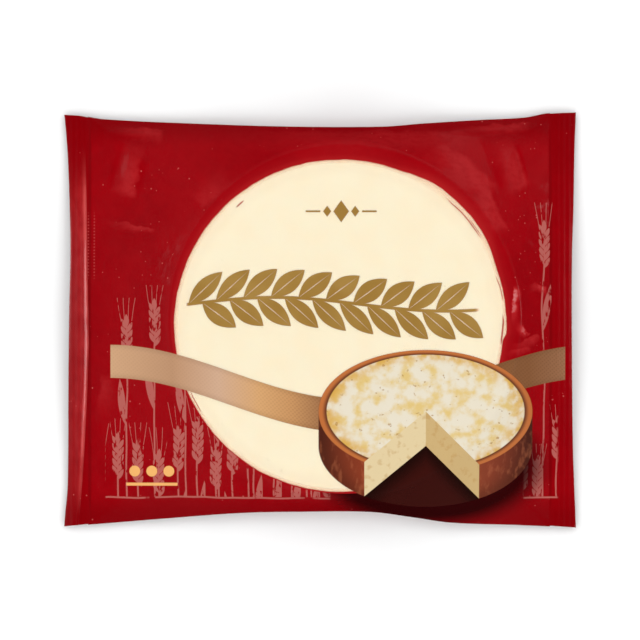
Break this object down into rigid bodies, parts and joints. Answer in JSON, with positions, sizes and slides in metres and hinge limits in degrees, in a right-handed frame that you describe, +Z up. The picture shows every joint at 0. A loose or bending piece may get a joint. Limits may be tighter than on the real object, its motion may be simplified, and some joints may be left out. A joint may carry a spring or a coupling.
{
  "type": "shut flow-wrap pack of provolone cheese",
  "caption": "Round slice of provolone cheese in a shut flow-wrap of red printed film with a round clear window and ribbed end seals.",
  "frame": {"origin": "under the middle of the pack, on the surface it lies on", "axes": "+X along the pack towards the end seal that the cheese lies nearer to, +Y across it, +Z up out of the window"},
  "size_m": [0.18, 0.146, 0.0166],
  "materials": {
    "printed_film": "glossy red printed packaging film",
    "clear_film": "clear glossy packaging film",
    "cheese": "smooth cream-coloured cheese, slightly moist"
  },
  "bodies": {
    "root": {"wrapper": "printed_film", "window": "clear_film", "cheese": "cheese"}
  },
  "joints": []
}
